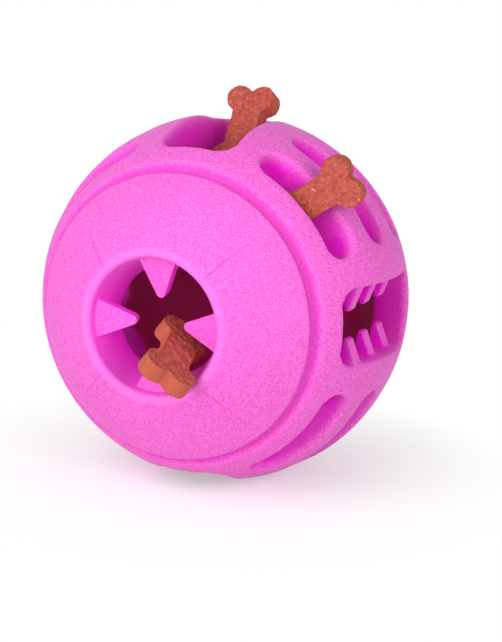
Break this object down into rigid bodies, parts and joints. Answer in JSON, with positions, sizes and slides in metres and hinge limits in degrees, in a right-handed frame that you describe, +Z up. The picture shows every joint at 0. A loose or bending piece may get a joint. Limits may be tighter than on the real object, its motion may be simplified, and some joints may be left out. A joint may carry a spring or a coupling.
{
  "type": "treat dispensing ball",
  "caption": "Hollow rubber ball with toothed mouths at both ends and a slotted band between its domes, holding small bone-shaped biscuits.",
  "frame": {"origin": "middle of the ball", "axes": "-Y out of the front mouth along the ball's polar axis, +Z up, +X to the right of the front mouth"},
  "size_m": [0.0784, 0.083, 0.0848],
  "materials": {
    "rubber": "matte moulded rubber with a fine grain",
    "biscuit": "matte, baked and crumbly"
  },
  "bodies": {
    "ball": {"front_ring": "rubber", "rear_ring": "rubber", "front_dome": "rubber", "rear_dome": "rubber", "grille_upper_right": "rubber", "grille_upper_left": "rubber", "grille_lower_left": "rubber", "grille_lower_right": "rubber", "right_comb_upper": "rubber", "right_comb_lower": "rubber", "left_comb_upper": "rubber", "left_comb_lower": "rubber"},
    "front_tooth_right": {"front_tooth_right": "rubber"},
    "front_tooth_top": {"front_tooth_top": "rubber"},
    "front_tooth_left": {"front_tooth_left": "rubber"},
    "front_tooth_bottom": {"front_tooth_bottom": "rubber"},
    "rear_tooth_right": {"rear_tooth_right": "rubber"},
    "rear_tooth_top": {"rear_tooth_top": "rubber"},
    "rear_tooth_left": {"rear_tooth_left": "rubber"},
    "rear_tooth_bottom": {"rear_tooth_bottom": "rubber"},
    "biscuit_top": {"biscuit_top": "biscuit"},
    "biscuit_slot": {"biscuit_slot": "biscuit"},
    "biscuit_mouth": {"biscuit_mouth": "biscuit"}
  },
  "joints": [
    {"name": "front_tooth_right_flex", "type": "hinge", "parent": "ball", "child": "front_tooth_right", "pos_m": [0.01217, -0.0331, 0], "axis": [0, 0, -1], "range_deg": [-20, 30], "stiffness_Nm_per_rad": 0.01},
    {"name": "front_tooth_top_flex", "type": "hinge", "parent": "ball", "child": "front_tooth_top", "pos_m": [0, -0.0331, 0.01217], "axis": [1, 0, 0], "range_deg": [-20, 30], "stiffness_Nm_per_rad": 0.01},
    {"name": "front_tooth_left_flex", "type": "hinge", "parent": "ball", "child": "front_tooth_left", "pos_m": [-0.01217, -0.0331, 0], "axis": [0, 0, 1], "range_deg": [-20, 30], "stiffness_Nm_per_rad": 0.01},
    {"name": "front_tooth_bottom_flex", "type": "hinge", "parent": "ball", "child": "front_tooth_bottom", "pos_m": [0, -0.0331, -0.01217], "axis": [-1, 0, 0], "range_deg": [-20, 30], "stiffness_Nm_per_rad": 0.01},
    {"name": "rear_tooth_right_flex", "type": "hinge", "parent": "ball", "child": "rear_tooth_right", "pos_m": [0.01217, 0.0331, 0], "axis": [0, 0, 1], "range_deg": [-20, 30], "stiffness_Nm_per_rad": 0.01},
    {"name": "rear_tooth_top_flex", "type": "hinge", "parent": "ball", "child": "rear_tooth_top", "pos_m": [0, 0.0331, 0.01217], "axis": [-1, 0, 0], "range_deg": [-20, 30], "stiffness_Nm_per_rad": 0.01},
    {"name": "rear_tooth_left_flex", "type": "hinge", "parent": "ball", "child": "rear_tooth_left", "pos_m": [-0.01217, 0.0331, 0], "axis": [0, 0, -1], "range_deg": [-20, 30], "stiffness_Nm_per_rad": 0.01},
    {"name": "rear_tooth_bottom_flex", "type": "hinge", "parent": "ball", "child": "rear_tooth_bottom", "pos_m": [0, 0.0331, -0.01217], "axis": [1, 0, 0], "range_deg": [-20, 30], "stiffness_Nm_per_rad": 0.01},
    {"name": "biscuit_top_pull", "type": "slide", "parent": "ball", "child": "biscuit_top", "axis": [0.029, 0.4362, 0.8994], "range_m": [0, 0.02]},
    {"name": "biscuit_slot_pull", "type": "slide", "parent": "ball", "child": "biscuit_slot", "axis": [0.8303, 0.111, 0.5462], "range_m": [0, 0.018]},
    {"name": "biscuit_mouth_pull", "type": "slide", "parent": "ball", "child": "biscuit_mouth", "axis": [0.1004, -0.9937, 0.0502], "range_m": [0, 0.018]}
  ]
}
